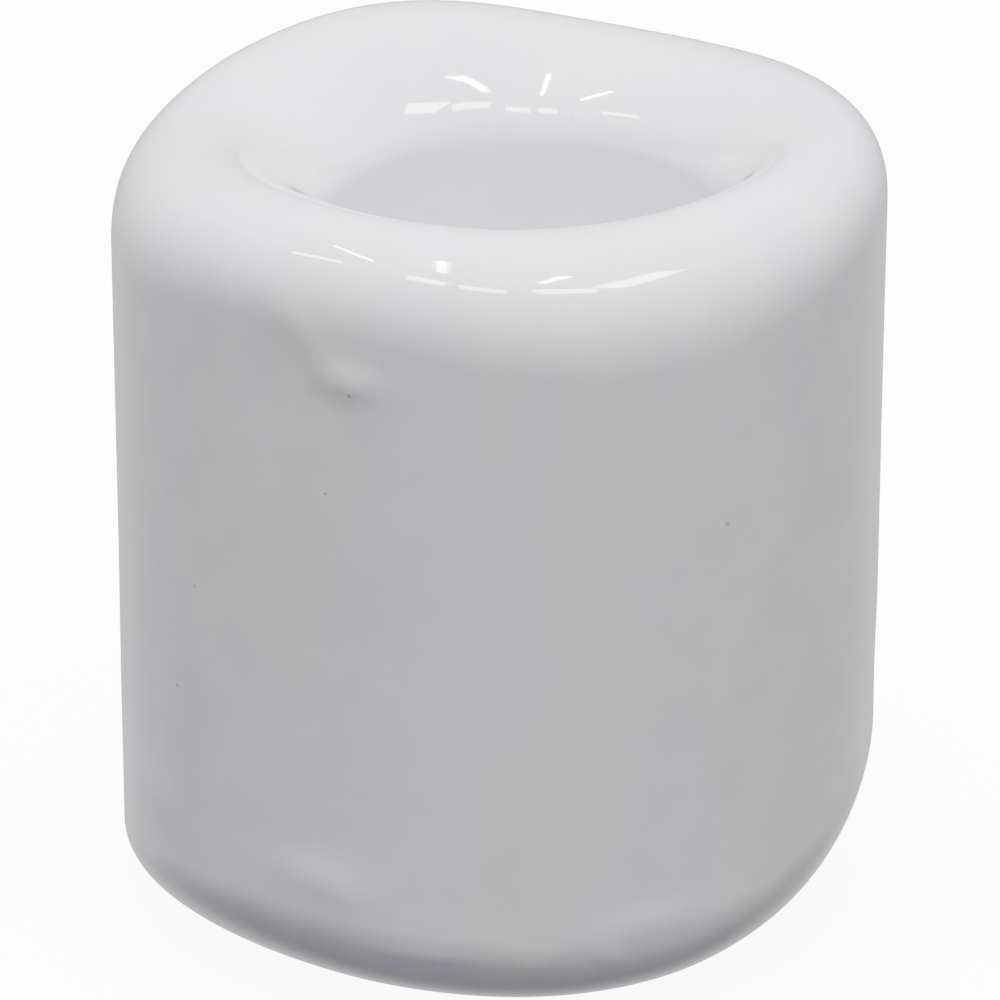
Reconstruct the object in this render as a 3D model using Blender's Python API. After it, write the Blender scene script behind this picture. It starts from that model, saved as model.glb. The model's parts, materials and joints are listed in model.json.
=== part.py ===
"""Short glazed porcelain cylinder with a wavy rolled rim, a dished mouth and a blind round socket.

The piece stands on its dry round foot with the foot's plane at z = 0 and the body's axis on Z.
Two solids make it: the fired clay body, and the glassy coat that covers everything but the foot.
Both follow one shape, glazed_surface(), whose rings run from the glaze line around the foot, out
under the body, up the wall, over the rim and down the socket to the edge of its floor.
"""
import math

import bmesh
import bpy
import numpy as np

MM = 0.001

# Driving dimensions in millimetres, measured over the glaze.
BODY_RADIUS = 12.7
WALL_TAPER = 0.12
RIM_HEIGHT = 26.93
SHOULDER_RADIUS = 2.75
BASE_RADIUS = 3.35
SOCKET_RADIUS = 6.45
SOCKET_X, SOCKET_Y = 0.8, -1.15   # the socket sits off the body's axis
SOCKET_EDGE_Z = 23.95      # height at which the dished mouth turns into the upright socket wall
SOCKET_FLOOR_Z = 12.0
FLOOR_FILLET = 1.2         # rounding between the socket's wall and its floor
CREST_REACH = 1.6          # how far the mouth's curve leaves the crest level
EDGE_REACH = 1.6           # how far it meets the socket wall upright
GLAZE_THICKNESS = 0.5
BOND_GAP = 0.3             # between the coat and the clay
FOOT_X = -0.8              # the foot's centre, off the body's axis because the base is rounder at +X
FOOT_RADIUS = 6.0
FOOT_PROUD = 0.15          # how far the dry foot stands below the glazed underside
FOOT_BEVEL = 0.2

# Hand-formed waviness: (waves per turn, height in millimetres, direction of the first crest in degrees).
RIM_WAVES = [(1, 0.16, -68), (2, 0.14, -88), (3, 0.345, -6), (4, 0.09, 28), (5, 0.035, -35)]
SHOULDER_WAVES = [(1, 0.14, 135), (2, 0.25, -90), (3, 0.22, -55), (4, 0.15, 18)]
BASE_WAVES = [(1, 1.21, -13), (2, 0.37, 19), (3, 0.85, -6), (4, 0.19, 15)]

# Fineness of the mesh.
SEGMENTS = 60
UNDERSIDE_ROWS = 2
BASE_ROWS = 7
WALL_ROWS = 3
SHOULDER_ROWS = 7
MOUTH_ROWS = 11
FLOOR_ROWS = 3
ROLL_ROWS = 3

CLAY = {"color": (0.74, 0.71, 0.66, 1.0), "roughness": 0.85}
GLAZE = {"color": (0.80, 0.80, 0.82, 1.0), "roughness": 0.06}


def clear_scene():
    for obj in list(bpy.data.objects):
        bpy.data.objects.remove(obj, do_unlink=True)


def wavy(angle, mean, waves):
    """A value that swings about its mean around the body."""
    return mean + sum(height * math.cos(count * (angle - math.radians(start))) for count, height, start in waves)


def socket_reach(angle):
    """Distance from the body's axis to the off-centre socket's wall in one direction."""
    along = SOCKET_X * math.cos(angle) + SOCKET_Y * math.sin(angle)
    offset = SOCKET_X ** 2 + SOCKET_Y ** 2
    return along + math.sqrt(SOCKET_RADIUS ** 2 - offset + along ** 2)


def foot_reach(angle, radius):
    """Distance from the body's axis to a circle about the off-centre foot in one direction."""
    along = FOOT_X * math.cos(angle)
    return along + math.sqrt(radius ** 2 - FOOT_X ** 2 + along ** 2)


def underside_rows(inner, outer):
    """Level rows under the body, from the glaze line outwards, with the last one left out."""
    shares = [step / UNDERSIDE_ROWS for step in range(UNDERSIDE_ROWS)]
    return [(inner + (outer - inner) * share, FOOT_PROUD) for share in shares]


def base_rows(radius, rounding):
    """Quarter-round from the level underside up to the wall."""
    rows = []
    for step in range(BASE_ROWS + 1):
        below = math.pi / 2 * (1 - step / BASE_ROWS)
        height = FOOT_PROUD + rounding - rounding * math.sin(below)
        rows.append((radius - rounding + rounding * math.cos(below), height))
    return rows


def wall_rows(bottom, top):
    """Straight wall between two (radius, height) points, both left out."""
    rows = []
    for step in range(1, WALL_ROWS):
        share = step / WALL_ROWS
        rows.append(tuple(low + (high - low) * share for low, high in zip(bottom, top)))
    return rows


def shoulder_rows(radius, height, rounding):
    """Quarter-round from the wall to the rim's crest."""
    rows = []
    for step in range(SHOULDER_ROWS + 1):
        turn = math.pi / 2 * step / SHOULDER_ROWS
        rows.append((radius - rounding + rounding * math.cos(turn), height - rounding + rounding * math.sin(turn)))
    return rows


def mouth_rows(crest, edge):
    """Cubic curve that leaves the crest level and meets the socket wall upright."""
    handles = [crest, (crest[0] - CREST_REACH, crest[1]), (edge[0], edge[1] + EDGE_REACH), edge]
    rows = []
    for step in range(1, MOUTH_ROWS + 1):
        t = step / MOUTH_ROWS
        weights = [(1 - t) ** 3, 3 * t * (1 - t) ** 2, 3 * t * t * (1 - t), t ** 3]
        rows.append(tuple(sum(w * handle[axis] for w, handle in zip(weights, handles)) for axis in (0, 1)))
    return rows


def section(angle):
    """(radius, height) points of the glazed surface in one direction, from the glaze line to the socket's edge."""
    height = wavy(angle, RIM_HEIGHT, RIM_WAVES)
    shoulder = wavy(angle, SHOULDER_RADIUS, SHOULDER_WAVES)
    rounding = wavy(angle, BASE_RADIUS, BASE_WAVES)
    base = base_rows(BODY_RADIUS - WALL_TAPER, rounding)
    glaze_line = foot_reach(angle, FOOT_RADIUS + BOND_GAP + GLAZE_THICKNESS / 2)
    underside = underside_rows(glaze_line, base[0][0])
    top = shoulder_rows(BODY_RADIUS, height, shoulder)
    mouth = mouth_rows(top[-1], (socket_reach(angle), SOCKET_EDGE_Z))
    return underside + base + wall_rows(base[-1], top[0]) + top + mouth


def floor_rings(edge_ring):
    """Rings that round the socket's wall into its floor, scaled about the socket's own axis."""
    centre = np.array([SOCKET_X, SOCKET_Y, 0.0])
    flat = np.array([1.0, 1.0, 0.0])
    rings = []
    for step in range(FLOOR_ROWS + 1):
        turn = math.pi / 2 * step / FLOOR_ROWS
        shrink = 1 - FLOOR_FILLET * (1 - math.cos(turn)) / SOCKET_RADIUS
        height = SOCKET_FLOOR_Z + FLOOR_FILLET * (1 - math.sin(turn))
        rings.append((edge_ring - centre) * flat * shrink + centre + np.array([0.0, 0.0, height]))
    return rings


def glazed_surface():
    """Rings of points, one row per ring, over the whole glazed surface."""
    angles = [2 * math.pi * k / SEGMENTS for k in range(SEGMENTS)]
    sections = [section(angle) for angle in angles]
    rings = []
    for row in range(len(sections[0])):
        points = [(s[row][0] * math.cos(a), s[row][0] * math.sin(a), s[row][1]) for s, a in zip(sections, angles)]
        rings.append(np.array(points))
    return np.array(rings + floor_rings(rings[-1]))


def inset(surface, depth):
    """The same rings moved into the material, square to the surface."""
    along = np.gradient(surface, axis=0)
    around = np.roll(surface, -1, axis=1) - np.roll(surface, 1, axis=1)
    normal = np.cross(around, along)
    return surface - depth * normal / np.linalg.norm(normal, axis=2, keepdims=True)


def rolled_edge(outer_ring, inner_ring):
    """Half-round rings that close the coat at the glaze line, from its clay side to its outer side."""
    middle = (outer_ring + inner_ring) / 2
    reach = (outer_ring - inner_ring) / 2
    inward = outer_ring * np.array([-1.0, -1.0, 0.0])
    inward /= np.linalg.norm(inward, axis=1, keepdims=True)
    bulge = inward * np.linalg.norm(reach, axis=1, keepdims=True)
    rings = []
    for step in range(1, ROLL_ROWS):
        turn = math.pi * step / ROLL_ROWS
        rings.append(middle - reach * math.cos(turn) + bulge * math.sin(turn))
    return rings


def foot_rings(clay_ring):
    """The level dry foot, its bevel, and its short upright wall below the clay's underside."""
    angles = [math.atan2(y, x) for x, y, _ in clay_ring]
    top = clay_ring[0][2]
    rings = []
    for radius, height in ((FOOT_RADIUS - FOOT_BEVEL, 0.0), (FOOT_RADIUS, FOOT_BEVEL), (FOOT_RADIUS, top)):
        reach = [foot_reach(angle, radius) for angle in angles]
        rings.append(np.array([(r * math.cos(a), r * math.sin(a), height) for r, a in zip(reach, angles)]))
    return rings


def solid_of_rings(name, start, rings, end):
    """One closed body from a start point, rings of points that climb its outside, and an end point."""
    mesh = bpy.data.meshes.new(name)
    bm = bmesh.new()
    first = bm.verts.new(np.array(start) * MM)
    last = bm.verts.new(np.array(end) * MM)
    loops = [[bm.verts.new(point * MM) for point in ring] for ring in rings]
    for k in range(SEGMENTS):
        after = (k + 1) % SEGMENTS
        bm.faces.new((first, loops[0][after], loops[0][k]))
        for low, high in zip(loops, loops[1:]):
            bm.faces.new((low[k], low[after], high[after], high[k]))
        bm.faces.new((loops[-1][k], loops[-1][after], last))
    bm.to_mesh(mesh)
    bm.free()
    mesh.shade_smooth()
    mesh.set_sharp_from_angle(angle=math.radians(40))
    obj = bpy.data.objects.new(name, mesh)
    bpy.context.scene.collection.objects.link(obj)
    return obj


def paint(obj, finish):
    material = bpy.data.materials.new(obj.name)
    material.use_nodes = True
    shader = material.node_tree.nodes["Principled BSDF"]
    shader.inputs["Base Color"].default_value = finish["color"]
    shader.inputs["Roughness"].default_value = finish["roughness"]
    shader.inputs["Metallic"].default_value = 0.0
    obj.data.materials.append(material)


def make_porcelain_body(surface):
    clay = inset(surface, GLAZE_THICKNESS + BOND_GAP)
    floor_centre = (SOCKET_X, SOCKET_Y, clay[-1][0][2])
    body = solid_of_rings("porcelain_body", (0.0, 0.0, 0.0), foot_rings(clay[0]) + list(clay), floor_centre)
    paint(body, CLAY)


def make_glaze_coat(surface):
    under = inset(surface, GLAZE_THICKNESS)
    under_centre = (SOCKET_X, SOCKET_Y, under[-1][0][2])
    floor_centre = (SOCKET_X, SOCKET_Y, SOCKET_FLOOR_Z)
    rings = list(under[::-1]) + rolled_edge(surface[0], under[0]) + list(surface)
    coat = solid_of_rings("glaze_coat", under_centre, rings, floor_centre)
    paint(coat, GLAZE)


def main():
    clear_scene()
    surface = glazed_surface()
    make_porcelain_body(surface)
    make_glaze_coat(surface)


main()
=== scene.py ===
"""Looks of a short white glazed porcelain cylinder with a wavy rolled rim and a dished socket.

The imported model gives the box, the foot and the socket floor. Two fine meshes stand for its two nodes:
the glassy coat, with the slight lumps and ripples of a hand-dipped glaze, and the dry clay under it.
Lengths are in millimetres until a mesh is written, and in metres for lights, camera and floor.
"""
import json
import math

import bmesh
import bpy
import numpy as np
from mathutils import Matrix, Vector


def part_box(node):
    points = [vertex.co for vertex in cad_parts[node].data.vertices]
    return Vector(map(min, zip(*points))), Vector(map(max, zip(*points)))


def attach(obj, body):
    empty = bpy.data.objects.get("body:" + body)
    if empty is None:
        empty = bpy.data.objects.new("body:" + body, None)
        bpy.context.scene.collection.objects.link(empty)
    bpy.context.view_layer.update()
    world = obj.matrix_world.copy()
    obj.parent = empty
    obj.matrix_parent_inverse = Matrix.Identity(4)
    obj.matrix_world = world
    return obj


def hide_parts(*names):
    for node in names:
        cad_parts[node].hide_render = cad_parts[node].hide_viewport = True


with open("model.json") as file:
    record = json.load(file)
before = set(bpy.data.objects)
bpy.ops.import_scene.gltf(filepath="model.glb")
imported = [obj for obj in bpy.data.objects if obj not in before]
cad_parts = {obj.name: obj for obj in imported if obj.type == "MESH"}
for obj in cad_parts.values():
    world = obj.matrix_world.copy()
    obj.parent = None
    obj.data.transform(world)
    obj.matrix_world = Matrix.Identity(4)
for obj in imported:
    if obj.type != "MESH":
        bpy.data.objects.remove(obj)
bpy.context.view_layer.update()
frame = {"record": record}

MM = 0.001
COAT_LOW, COAT_HIGH = (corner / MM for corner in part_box("glaze_coat"))
MOUNTS = {mount["name"]: mount["pos_m"] for mount in frame["record"]["mounts"]}
SKIN = 0.03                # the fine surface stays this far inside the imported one

# The body's shape, over the glaze, in millimetres.
BODY_RADIUS = (COAT_HIGH.x - COAT_LOW.x) / 2 - SKIN
WALL_TAPER = 0.12          # how much narrower the wall is at the base than at the shoulder
RIM_HEIGHT = 26.93 - SKIN
SHOULDER_RADIUS = 2.75
SHOULDER_ACROSS, SHOULDER_UP = 1.06, 1.20     # the shoulder's reach inward and downward, over its radius
SHOULDER_POWER = 2.3       # 2 gives an ellipse, and more a squarer shoulder
BASE_RADIUS = 3.35
SOCKET_RADIUS = 6.45
SOCKET_X, SOCKET_Y = 0.8, -1.15
SOCKET_EDGE_Z = 23.95
SOCKET_FLOOR_Z = MOUNTS["socket_floor"][2] / MM
FLOOR_FILLET = 1.2
CREST_REACH = 1.6          # level handle of the mouth's curve, at the crest
EDGE_REACH = 1.20          # upright handle of that curve, at the socket's edge, on the visible surface
HIDDEN_EDGE_REACH = 1.6    # gentler under the coat, so that the hidden faces stay apart
GLAZE_THICKNESS = 0.5
FOOT_X = MOUNTS["foot"][0] / MM
FOOT_RADIUS = 6.0
FOOT_BEVEL = 0.2
LEAN = 0.10                # how far the base sits to the left of the rim
UNDERSIDE_Z = COAT_LOW.z + SKIN
GLAZE_LINE_GAP = 0.06      # between the dry foot and the rolled edge of the glaze
BOND_GAP = 0.05            # between the coat and the clay, out of sight

# Hand-formed waviness: (waves per turn, height in millimetres, direction of the first crest in degrees).
RIM_WAVES = [(1, 0.16, -68), (2, 0.14, -88), (3, 0.345, -6), (4, 0.09, 28), (5, 0.035, -35)]
SHOULDER_WAVES = [(1, 0.14, 135), (2, 0.25, -90), (3, 0.22, -55), (4, 0.15, 18)]
BASE_WAVES = [(1, 1.21, -13), (2, 0.37, 19), (3, 0.85, -6), (4, 0.19, 15)]

# Ripples of the glaze: (waves per turn, radians per millimetre of height, height in millimetres, phase).
RIPPLES = [(3, 0.10, 0.020, 0.4), (5, -0.16, 0.014, 1.9), (8, 0.30, 0.007, 3.1), (13, -0.55, 0.003, 0.9)]
RIPPLES_FADE = 1.0         # ripples and lumps grow from nothing over this height above the underside

# Lumps and hollows: (direction in degrees, height, half width, half height, rise, lean), in millimetres.
# They are full on the wall, and fade out between LUMPS_FULL and LUMPS_END in from it.
# The lean says how far the lump shifts round the body for each millimetre that it climbs.
LUMPS_FULL, LUMPS_END = 1.0, 3.0
LUMPS = [
    (-118, 23.9, 0.55, 1.15, 0.065, -0.80),
    (-112, 22.8, 0.75, 0.30, 0.090, 0.00),
    (-124, 22.0, 1.90, 1.50, -0.050, 0.00),
    (-117, 4.9, 1.10, 0.55, 0.090, -0.60),
    (-68, 3.6, 1.40, 0.35, 0.070, 0.60),
    (-92, 3.5, 0.50, 0.14, 0.030, 0.00),
    (-102, 2.7, 1.30, 0.16, 0.030, 0.20),
    (-85, 2.3, 0.18, 0.45, 0.045, 0.40),
    (-73, 2.5, 0.22, 0.40, 0.045, -0.70),
    (-14, 7.8, 2.20, 1.10, -0.050, 0.00),
    (20, 16.0, 2.50, 3.00, -0.050, 0.20),
    (75, 6.0, 1.60, 0.80, 0.070, 0.30),
    (130, 20.5, 0.90, 1.60, 0.060, -0.20),
    (165, 11.0, 2.20, 1.80, -0.060, 0.00),
    (205, 5.5, 1.20, 0.60, 0.070, -0.40),
]

# Dark specks and pinholes on the wall: (direction in degrees, height, radius) in millimetres.
SPECKS = [
    (-112, 22.4, 0.07), (-116, 18.8, 0.06), (-55, 17.3, 0.07), (-24.5, 12.0, 0.09), (-29, 12.2, 0.05),
    (-82, 10.3, 0.05), (-141, 14.0, 0.05), (15, 19.0, 0.06), (48, 9.5, 0.07), (88, 21.0, 0.06),
    (118, 13.0, 0.07), (152, 6.5, 0.05), (190, 17.5, 0.06), (214, 10.0, 0.06),
]

# Fineness of the meshes.
SEGMENTS = 288
UNDERSIDE_ROWS, BASE_ROWS, WALL_ROWS, SHOULDER_ROWS = 6, 26, 56, 30
MOUTH_ROWS, SOCKET_ROWS, FLOOR_ROWS, FLAT_ROWS, ROLL_ROWS = 44, 22, 10, 8, 8
FOOT_FLAT_ROWS, FOOT_BEVEL_ROWS = 4, 5


def wavy(angle, mean, waves):
    """A value that swings about its mean around the body."""
    swings = [height * np.cos(count * (angle - math.radians(start))) for count, height, start in waves]
    return mean + sum(swings)


def circle_reach(angle, centre_x, centre_y, radius):
    """Distance from the body's axis to an off-centre circle, in each direction."""
    along = centre_x * np.cos(angle) + centre_y * np.sin(angle)
    return along + np.sqrt(radius ** 2 - centre_x ** 2 - centre_y ** 2 + along ** 2)


def steps(rows):
    """Shares from 0 up to 1, both included."""
    return [k / rows for k in range(rows + 1)]


def quarter_round(centre_r, centre_z, radius, start, end, rows):
    """(radius, height) rows along an arc, from one direction in degrees to another."""
    turns = [math.radians(start + (end - start) * share) for share in steps(rows)]
    return [(centre_r + radius * math.cos(t), centre_z + radius * math.sin(t)) for t in turns]


def shoulder_round(shoulder, rim):
    """Shoulder that leaves the wall and meets the crest without a jump in its curvature."""
    across, up = shoulder * SHOULDER_ACROSS, shoulder * SHOULDER_UP
    rows = []
    for share in steps(SHOULDER_ROWS):
        turn = math.pi / 2 * share
        out = max(math.cos(turn), 0.0) ** (2 / SHOULDER_POWER)
        rise = math.sin(turn) ** (2 / SHOULDER_POWER)
        rows.append((BODY_RADIUS - across + across * out, rim - up + up * rise))
    return rows


def straight(first, last, rows):
    """Rows between two (radius, height) places, without the two places themselves."""
    return [tuple(a + (b - a) * share for a, b in zip(first, last)) for share in steps(rows)[1:-1]]


def mouth_curve(crest, edge, edge_reach):
    """Cubic that leaves the crest level and meets the socket wall upright."""
    handles = [crest, (crest[0] - CREST_REACH, crest[1]), (edge[0], edge[1] + edge_reach), edge]
    rows = []
    for t in steps(MOUTH_ROWS)[1:]:
        weights = [(1 - t) ** 3, 3 * t * (1 - t) ** 2, 3 * t * t * (1 - t), t ** 3]
        rows.append(tuple(sum(w * handle[axis] for w, handle in zip(weights, handles)) for axis in (0, 1)))
    return rows


def section(angles, edge_reach):
    """(radius, height) rows of the glazed surface, from the glaze line to the foot of the socket wall."""
    flat = np.ones_like(angles)
    rim = wavy(angles, RIM_HEIGHT, RIM_WAVES)
    shoulder = wavy(angles, SHOULDER_RADIUS, SHOULDER_WAVES)
    rounding = wavy(angles, BASE_RADIUS, BASE_WAVES)
    foot_wall = (BODY_RADIUS - WALL_TAPER) * flat
    glaze_line = circle_reach(angles, FOOT_X, 0.0, FOOT_RADIUS + GLAZE_LINE_GAP + GLAZE_THICKNESS / 2)
    base = quarter_round(foot_wall - rounding, UNDERSIDE_Z + rounding, rounding, -90, 0, BASE_ROWS)
    top = shoulder_round(shoulder, rim)
    socket = circle_reach(angles, SOCKET_X, SOCKET_Y, SOCKET_RADIUS)
    edge = (socket, SOCKET_EDGE_Z * flat)
    start = (glaze_line, UNDERSIDE_Z * flat)
    bottom = (socket, (SOCKET_FLOOR_Z + FLOOR_FILLET) * flat)
    rows = [start] + straight(start, base[0], UNDERSIDE_ROWS) + base
    rows += straight(base[-1], top[0], WALL_ROWS) + top + mouth_curve(top[-1], edge, edge_reach)
    return rows + straight(edge, bottom, SOCKET_ROWS) + [bottom]


def floor_rings(wall_ring):
    """Rings that round the socket wall into its floor and run on towards the floor's middle."""
    centre = np.array([SOCKET_X, SOCKET_Y, 0.0])
    spread = (wall_ring - centre) * np.array([1.0, 1.0, 0.0])
    rings = []
    for share in steps(FLOOR_ROWS)[1:]:
        turn = math.pi / 2 * share
        shrink = 1 - FLOOR_FILLET * (1 - math.cos(turn)) / SOCKET_RADIUS
        height = SOCKET_FLOOR_Z + FLOOR_FILLET * (1 - math.sin(turn))
        rings.append(centre + spread * shrink + np.array([0.0, 0.0, height]))
    edge = 1 - FLOOR_FILLET / SOCKET_RADIUS
    for share in steps(FLAT_ROWS)[1:-1]:
        rings.append(centre + spread * edge * (1 - share) + np.array([0.0, 0.0, SOCKET_FLOOR_Z]))
    return rings


def smooth_surface(edge_reach):
    """Rings of points over the whole glazed surface, before its lumps and ripples."""
    angles = np.arange(SEGMENTS) * 2 * math.pi / SEGMENTS
    turn = np.stack([np.cos(angles), np.sin(angles)], axis=1)
    rows = section(angles, edge_reach)
    rings = [np.column_stack([turn * reach[:, None], height]) for reach, height in rows]
    surface = np.array(rings + floor_rings(rings[-1]))
    outside = slice(0, -(SOCKET_ROWS + FLOOR_ROWS + FLAT_ROWS))
    surface[outside, :, 0] += LEAN * (surface[outside, :, 2] / RIM_HEIGHT - 1)
    return surface


def normals_of(surface):
    """Outward normals of a surface given as rings of points."""
    along = np.gradient(surface, axis=0)
    around = np.roll(surface, -1, axis=1) - np.roll(surface, 1, axis=1)
    normal = np.cross(around, along)
    return normal / np.linalg.norm(normal, axis=2, keepdims=True)


def relief(surface):
    """How far the glaze stands off its smooth shape, ring by ring, in millimetres."""
    angle = np.arctan2(surface[..., 1], surface[..., 0])
    height = surface[..., 2]
    off = sum(size * np.cos(count * angle + pitch * height + phase) for count, pitch, size, phase in RIPPLES)
    reach = np.hypot(surface[..., 0], surface[..., 1])
    outside = np.clip((reach - BODY_RADIUS + LUMPS_END) / (LUMPS_END - LUMPS_FULL), 0, 1)
    for direction, middle, half_width, half_height, rise, lean in LUMPS:
        away = (angle - math.radians(direction) + math.pi) % (2 * math.pi) - math.pi
        across = (away * BODY_RADIUS - lean * (height - middle)) / half_width
        up = (height - middle) / half_height
        off = off + outside * rise * np.exp(-(across ** 2 + up ** 2) / 2)
    return off


def glazed_surface():
    """The visible glaze, lumps and ripples included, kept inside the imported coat's box."""
    surface = smooth_surface(EDGE_REACH)
    normal = normals_of(surface)
    fade = np.clip((surface[..., 2] - UNDERSIDE_Z) / RIPPLES_FADE, 0, 1)
    moved = surface + normal * (relief(surface) * fade)[..., None]
    return np.clip(moved, np.array(COAT_LOW), np.array(COAT_HIGH))


def rolled_edge(outer_ring, inner_ring):
    """Half-round rings that close the coat at the glaze line, from its clay side to its outer side."""
    middle = (outer_ring + inner_ring) / 2
    reach = (outer_ring - inner_ring) / 2
    inward = outer_ring * np.array([-1.0, -1.0, 0.0])
    inward /= np.linalg.norm(inward, axis=1, keepdims=True)
    bulge = inward * np.linalg.norm(reach, axis=1, keepdims=True)
    turns = [math.pi * share for share in steps(ROLL_ROWS)[1:-1]]
    return [middle - reach * math.cos(turn) + bulge * math.sin(turn) for turn in turns]


def foot_rings(clay_top):
    """The level dry foot in a few rings, its rounded edge, and its wall up to the clay's underside."""
    angles = np.arange(SEGMENTS) * 2 * math.pi / SEGMENTS
    places = [(FOOT_RADIUS * share, 0.0) for share in steps(FOOT_FLAT_ROWS)[1:-1]]
    places += quarter_round(FOOT_RADIUS - FOOT_BEVEL, FOOT_BEVEL, FOOT_BEVEL, -90, 0, FOOT_BEVEL_ROWS)
    places += [(FOOT_RADIUS, clay_top)]
    rings = []
    for radius, height in places:
        x = FOOT_X + radius * np.cos(angles)
        y = radius * np.sin(angles)
        rings.append(np.column_stack([x, y, np.full(SEGMENTS, height)]))
    return rings


def solid_of_rings(name, start, rings, end):
    """One closed body from a start point, rings of points that climb its outside, and an end point."""
    mesh = bpy.data.meshes.new(name)
    bm = bmesh.new()
    first = bm.verts.new(np.array(start) * MM)
    last = bm.verts.new(np.array(end) * MM)
    loops = [[bm.verts.new(point * MM) for point in ring] for ring in rings]
    for k in range(SEGMENTS):
        after = (k + 1) % SEGMENTS
        bm.faces.new((first, loops[0][after], loops[0][k]))
        for low, high in zip(loops, loops[1:]):
            bm.faces.new((low[k], low[after], high[after], high[k]))
        bm.faces.new((loops[-1][k], loops[-1][after], last))
    bm.to_mesh(mesh)
    bm.free()
    mesh.shade_smooth()
    obj = bpy.data.objects.new(name, mesh)
    bpy.context.scene.collection.objects.link(obj)
    return obj


def new_material(name):
    """An empty material, its node tree, and its Principled shader."""
    material = bpy.data.materials.new(name)
    material.use_nodes = True
    return material, material.node_tree, material.node_tree.nodes["Principled BSDF"]


def add_noise(tree, coords, scale, detail=3.0, roughness=0.5):
    noise = tree.nodes.new("ShaderNodeTexNoise")
    noise.inputs["Scale"].default_value = scale
    noise.inputs["Detail"].default_value = detail
    noise.inputs["Roughness"].default_value = roughness
    tree.links.new(coords, noise.inputs["Vector"])
    return noise.outputs["Fac"]


def map_range(tree, value, low, high, to_low, to_high):
    node = tree.nodes.new("ShaderNodeMapRange")
    node.interpolation_type = "SMOOTHSTEP"
    for name, number in zip(("From Min", "From Max", "To Min", "To Max"), (low, high, to_low, to_high)):
        node.inputs[name].default_value = number
    tree.links.new(value, node.inputs["Value"])
    return node.outputs["Result"]


def mix_color(tree, factor, first, second):
    """Blends two colours, each a fixed colour or another node's output."""
    node = tree.nodes.new("ShaderNodeMix")
    node.data_type = "RGBA"
    tree.links.new(factor, node.inputs["Factor"])
    for socket, value in ((node.inputs[6], first), (node.inputs[7], second)):
        if isinstance(value, tuple):
            socket.default_value = value
        else:
            tree.links.new(value, socket)
    return node.outputs[2]


def math_node(tree, operation, first, second):
    node = tree.nodes.new("ShaderNodeMath")
    node.operation = operation
    for socket, value in zip(node.inputs, (first, second)):
        if isinstance(value, (int, float)):
            socket.default_value = value
        else:
            tree.links.new(value, socket)
    return node.outputs[0]


def add_bump(tree, shader, height, distance, strength):
    bump = tree.nodes.new("ShaderNodeBump")
    bump.inputs["Distance"].default_value = distance
    bump.inputs["Strength"].default_value = strength
    tree.links.new(height, bump.inputs["Height"])
    tree.links.new(bump.outputs["Normal"], shader.inputs["Normal"])


# The glaze. Scales are in noise cells per metre, and a pair of colours is a darker and a lighter one.
# The lilac pair is a painted reflection: a reflected lilac tint laid into the colour, in random clouds over
# the plain white.
LILAC_REFLECTION_TINT = ((0.785, 0.757, 0.862, 1.0), (0.825, 0.800, 0.880, 1.0))
PLAIN_WHITE = ((0.784, 0.778, 0.792, 1.0), (0.832, 0.824, 0.834, 1.0))
PORE_COLOR, PORE_SHARE = (0.45, 0.43, 0.40, 1.0), 0.35
SPECK_COLOR, SPECK_SHARE = (0.22, 0.17, 0.13, 1.0), 0.5
SPECK_CORE, SPECK_EDGE = 0.6, 1.7      # shares of its radius at which a speck starts and ends its fade
PORE_SCALE, PORE_CUT = 420.0, 0.86     # cells per metre, and the share of the cells that hold no pore
PORE_CORE, PORE_EDGE = 0.015, 0.045    # shares of a cell
CLOUD_SCALE, CLOUD_STRETCH = 130.0, 0.35
MOTTLE_SCALE, SMEAR_SCALE, PEEL_SCALE = 520.0, 240.0, 900.0
GLAZE_ROUGHNESS = (0.045, 0.11)
GLAZE_IOR = 1.6
PEEL_DEPTH, PEEL_STRENGTH = 0.00002, 0.35
PORE_DIP, SPECK_DIP = 1.5, 3.0         # depths, over the orange peel's

# The dry clay.
CLAY_COLORS = ((0.70, 0.66, 0.59, 1.0), (0.80, 0.77, 0.71, 1.0))
RUB_COLOR, RUB_SHARE = (0.56, 0.53, 0.49, 1.0), 0.5
GRAIN_SCALE, STAIN_SCALE = 2600.0, 320.0
CLAY_ROUGHNESS = (0.92, 0.78)
GRAIN_DEPTH, GRAIN_STRENGTH = 0.00005, 0.6


def speck_mask(tree, coords):
    """1 inside each listed speck and 0 elsewhere."""
    mask = None
    for direction, height, radius in SPECKS:
        angle = math.radians(direction)
        place = (BODY_RADIUS * MM * math.cos(angle), BODY_RADIUS * MM * math.sin(angle), height * MM)
        away = tree.nodes.new("ShaderNodeVectorMath")
        away.operation = "DISTANCE"
        away.inputs[1].default_value = place
        tree.links.new(coords, away.inputs[0])
        fade = (radius * MM * SPECK_CORE, radius * MM * SPECK_EDGE)
        inside = map_range(tree, away.outputs["Value"], *fade, 1.0, 0.0)
        mask = inside if mask is None else math_node(tree, "MAXIMUM", mask, inside)
    return mask


def pore_mask(tree, coords):
    """Sparse tiny pores: the middles of a few cells of a fine cell pattern."""
    cells = tree.nodes.new("ShaderNodeTexVoronoi")
    cells.inputs["Scale"].default_value = PORE_SCALE
    tree.links.new(coords, cells.inputs["Vector"])
    split = tree.nodes.new("ShaderNodeSeparateColor")
    tree.links.new(cells.outputs["Color"], split.inputs["Color"])
    chosen = math_node(tree, "GREATER_THAN", split.outputs["Red"], PORE_CUT)
    middle = map_range(tree, cells.outputs["Distance"], PORE_CORE, PORE_EDGE, 1.0, 0.0)
    return math_node(tree, "MULTIPLY", chosen, middle)


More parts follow.
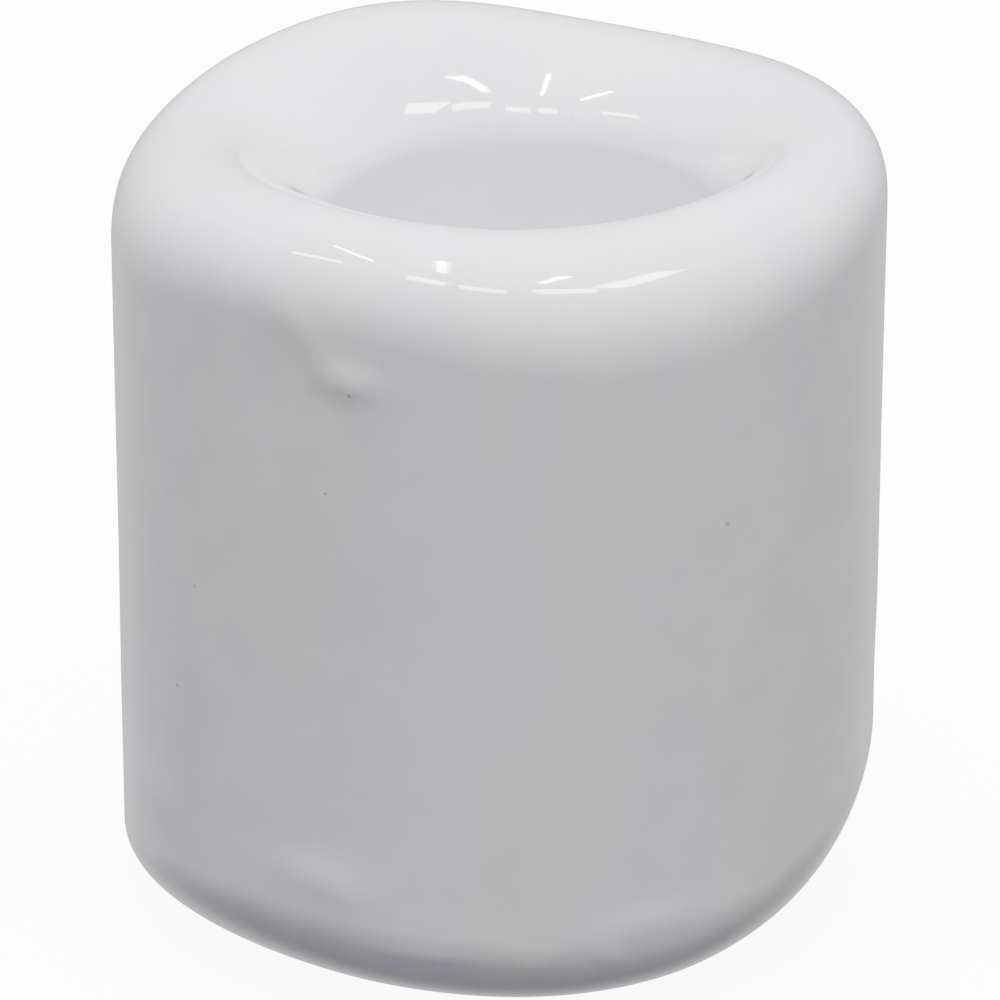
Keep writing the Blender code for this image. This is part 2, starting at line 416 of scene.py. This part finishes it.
def glaze_material():
    """Thick glossy white glaze: faint clouds of painted lilac reflection tint, fine orange-peel, sparse
    pores and dark specks.
    """
    material, tree, shader = new_material("white_glaze")
    coords = tree.nodes.new("ShaderNodeTexCoord").outputs["Object"]
    bands = tree.nodes.new("ShaderNodeMapping")
    bands.inputs["Scale"].default_value = (1.0, 1.0, CLOUD_STRETCH)
    tree.links.new(coords, bands.inputs["Vector"])
    # Random clouds that spread the painted lilac reflection tint over the plain white.
    cloud_noise = add_noise(tree, bands.outputs["Vector"], CLOUD_SCALE, 2.0)
    reflection_tint_clouds = map_range(tree, cloud_noise, 0.38, 0.62, 0.0, 1.0)
    mottle = map_range(tree, add_noise(tree, coords, MOTTLE_SCALE, 4.0, 0.6), 0.35, 0.68, 0.0, 1.0)
    lilac_reflection = mix_color(tree, mottle, *LILAC_REFLECTION_TINT)
    plain = mix_color(tree, mottle, *PLAIN_WHITE)
    body = mix_color(tree, reflection_tint_clouds, lilac_reflection, plain)
    pores = pore_mask(tree, coords)
    specks = speck_mask(tree, coords)
    pored = mix_color(tree, math_node(tree, "MULTIPLY", pores, PORE_SHARE), body, PORE_COLOR)
    specked = mix_color(tree, math_node(tree, "MULTIPLY", specks, SPECK_SHARE), pored, SPECK_COLOR)
    tree.links.new(specked, shader.inputs["Base Color"])
    smears = map_range(tree, add_noise(tree, coords, SMEAR_SCALE, 5.0), 0.4, 0.75, *GLAZE_ROUGHNESS)
    tree.links.new(smears, shader.inputs["Roughness"])
    shader.inputs["IOR"].default_value = GLAZE_IOR
    shader.inputs["Subsurface Weight"].default_value = 0.12
    shader.inputs["Subsurface Radius"].default_value = (1.0, 0.95, 0.9)
    shader.inputs["Subsurface Scale"].default_value = 0.0012
    shader.inputs["Coat Weight"].default_value = 1.0
    shader.inputs["Coat IOR"].default_value = GLAZE_IOR
    shader.inputs["Coat Roughness"].default_value = 0.02
    pits = math_node(tree, "MULTIPLY", pores, -PORE_DIP)
    peel = math_node(tree, "ADD", add_noise(tree, coords, PEEL_SCALE, 2.0), pits)
    dips = math_node(tree, "SUBTRACT", peel, math_node(tree, "MULTIPLY", specks, SPECK_DIP))
    add_bump(tree, shader, dips, PEEL_DEPTH, PEEL_STRENGTH)
    return material


def bisque_material():
    """Dry fired clay: matt, faintly warm, gritty, with a grey rub where it stands."""
    material, tree, shader = new_material("bisque_porcelain")
    coords = tree.nodes.new("ShaderNodeTexCoord").outputs["Object"]
    grain = map_range(tree, add_noise(tree, coords, GRAIN_SCALE, 6.0, 0.65), 0.35, 0.7, 0.0, 1.0)
    stains = map_range(tree, add_noise(tree, coords, STAIN_SCALE, 4.0), 0.48, 0.72, 0.0, 1.0)
    clay = mix_color(tree, grain, *CLAY_COLORS)
    rubbed = mix_color(tree, math_node(tree, "MULTIPLY", stains, RUB_SHARE), clay, RUB_COLOR)
    tree.links.new(rubbed, shader.inputs["Base Color"])
    tree.links.new(map_range(tree, grain, 0.0, 1.0, *CLAY_ROUGHNESS), shader.inputs["Roughness"])
    add_bump(tree, shader, grain, GRAIN_DEPTH, GRAIN_STRENGTH)
    return material


def make_coat():
    """The glassy coat: its visible face, its rolled edge, and its face against the clay."""
    outer = glazed_surface()
    smooth = smooth_surface(HIDDEN_EDGE_REACH)
    under = smooth - normals_of(smooth) * GLAZE_THICKNESS
    under_centre = (SOCKET_X, SOCKET_Y, SOCKET_FLOOR_Z - GLAZE_THICKNESS)
    floor_centre = (SOCKET_X, SOCKET_Y, SOCKET_FLOOR_Z)
    rings = list(under[::-1]) + rolled_edge(outer[0], under[0]) + list(outer)
    coat = solid_of_rings("glaze_skin", under_centre, rings, floor_centre)
    coat.data.materials.append(glaze_material())
    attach(coat, "root")
    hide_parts("glaze_coat")


def make_clay():
    """The clay under the coat, and the dry foot that it stands on."""
    smooth = smooth_surface(HIDDEN_EDGE_REACH)
    clay = smooth - normals_of(smooth) * (GLAZE_THICKNESS + BOND_GAP)
    top = clay[0][0][2]
    floor_centre = (SOCKET_X, SOCKET_Y, SOCKET_FLOOR_Z - GLAZE_THICKNESS - BOND_GAP)
    body = solid_of_rings("clay_body", (FOOT_X, 0.0, 0.0), foot_rings(top) + list(clay), floor_centre)
    body.data.materials.append(bisque_material())
    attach(body, "root")
    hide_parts("porcelain_body")


# The studio, in metres. Every lamp looks at the middle of the object.
AIM = Vector((0.0, 0.0, 0.01338))
CAMERA_ELEVATION = 24.77
CAMERA_DISTANCE = 0.303
CAMERA_LENS, SENSOR_WIDTH = 329.7, 36.0     # millimetres
CAMERA_FAR = 20.0
CEILING = 1.0              # height of the small lamps above the object
FLOOR_SIZE = 6.0

# Lamps in the ceiling: (x, y) of the two ends of the lamp's middle line, its width, and its radiance.
# Places and widths are shares of the ceiling's height.
LAMPS = [
    ((0.60, -0.18), (0.53, -0.45), 0.13, 36),
    ((0.51, -0.52), (0.29, -0.60), 0.12, 28),
    ((0.19, -0.68), (-0.01, -0.67), 0.11, 28),
    ((-0.07, -0.64), (-0.25, -0.56), 0.13, 32),
    ((-0.92, -0.14), (-0.60, -0.33), 0.07, 36),
    ((0.30, -0.13), (0.27, -0.34), 0.028, 120),
    ((0.01, 0.05), (-0.03, -0.27), 0.028, 120),
    ((-0.40, 0.12), (-0.32, -0.19), 0.026, 120),
]
OVERHEAD_RADIANCE = 12.5
OVERHEAD_SIZE = 1.0
OVERHEAD_PLACE = (0.0, 0.08, 1.05)
WORLD_COLOR = (0.97, 0.965, 1.0, 1.0)
WORLD_LOW, WORLD_HIGH = 0.39, 0.31     # strength below and above the horizon
MIDDLE_SHADE, SIDE_SHADE = 0.86, 0.55
BEHIND_GAIN = 2.9          # how much brighter the room is behind the object than in front
FLOOR_GLOW = 10.0


def make_camera():
    elevation = math.radians(CAMERA_ELEVATION)
    back = Vector((0.0, -math.cos(elevation), math.sin(elevation)))
    camera = bpy.data.objects.new("camera", bpy.data.cameras.new("camera"))
    camera.data.lens = CAMERA_LENS
    camera.data.sensor_width = SENSOR_WIDTH
    camera.location = AIM + back * CAMERA_DISTANCE
    camera.rotation_euler = (-back).to_track_quat("-Z", "Y").to_euler()
    camera.data.clip_end = CAMERA_FAR
    bpy.context.scene.collection.objects.link(camera)
    bpy.context.scene.camera = camera


def area_lamp(name, location, size, power, along):
    """A rectangular lamp that faces the object, with its long side along a direction."""
    lamp = bpy.data.objects.new(name, bpy.data.lights.new(name, "AREA"))
    lamp.data.shape = "RECTANGLE"
    lamp.data.size, lamp.data.size_y = size
    lamp.data.energy = power
    lamp.location = location
    back = (Vector(location) - AIM).normalized()
    side = (along - back * along.dot(back)).normalized()
    lamp.rotation_euler = Matrix((side, back.cross(side), back)).transposed().to_euler()
    bpy.context.scene.collection.objects.link(lamp)
    return lamp


def make_lamps():
    """The small lamps whose mirror images lie on the rim and in the mouth."""
    for number, (first, last, width, radiance) in enumerate(LAMPS):
        start = Vector((first[0], first[1], 1.0)) * CEILING
        end = Vector((last[0], last[1], 1.0)) * CEILING
        length = (end - start).length
        power = radiance * math.pi * length * width * CEILING
        area_lamp(f"lamp_{number}", (start + end) / 2, (length, width * CEILING), power, end - start)


def make_overhead():
    """Broad soft light from above, without a mirror image."""
    power = OVERHEAD_RADIANCE * math.pi * OVERHEAD_SIZE ** 2
    across = Vector((1.0, 0.0, 0.0))
    overhead = area_lamp("overhead", OVERHEAD_PLACE, (OVERHEAD_SIZE, OVERHEAD_SIZE), power, across)
    overhead.visible_glossy = False


def make_world():
    """Dim soft room: a little brighter below the horizon, darker at the sides and brighter behind."""
    world = bpy.data.worlds.new("studio")
    bpy.context.scene.world = world
    world.use_nodes = True
    tree = world.node_tree
    background = tree.nodes["Background"]
    background.inputs["Color"].default_value = WORLD_COLOR
    direction = tree.nodes.new("ShaderNodeSeparateXYZ")
    tree.links.new(tree.nodes.new("ShaderNodeTexCoord").outputs["Generated"], direction.inputs["Vector"])
    strength = map_range(tree, direction.outputs["Z"], -0.5, 0.5, WORLD_LOW, WORLD_HIGH)
    aside = math_node(tree, "ABSOLUTE", direction.outputs["X"], 0.0)
    shade = map_range(tree, aside, 0.3, 0.95, MIDDLE_SHADE, SIDE_SHADE)
    behind = map_range(tree, direction.outputs["Y"], 0.1, 0.85, 1.0, BEHIND_GAIN)
    shaded = math_node(tree, "MULTIPLY", strength, shade)
    tree.links.new(math_node(tree, "MULTIPLY", shaded, behind), background.inputs["Strength"])


def make_floor():
    """Plain white floor, seen by the camera but casting no light on the object."""
    mesh = bpy.data.meshes.new("floor")
    bm = bmesh.new()
    bmesh.ops.create_grid(bm, x_segments=1, y_segments=1, size=FLOOR_SIZE / 2)
    bm.to_mesh(mesh)
    bm.free()
    floor = bpy.data.objects.new("floor", mesh)
    bpy.context.scene.collection.objects.link(floor)
    floor.visible_diffuse = False
    floor.visible_glossy = False
    material, tree, shader = new_material("floor")
    shader.inputs["Base Color"].default_value = (0.85, 0.85, 0.85, 1.0)
    shader.inputs["Roughness"].default_value = 0.8
    shader.inputs["Emission Color"].default_value = (1.0, 1.0, 1.0, 1.0)
    shader.inputs["Emission Strength"].default_value = FLOOR_GLOW
    floor.data.materials.append(material)


make_coat()
make_clay()
make_floor()
make_world()
make_overhead()
make_lamps()
make_camera()
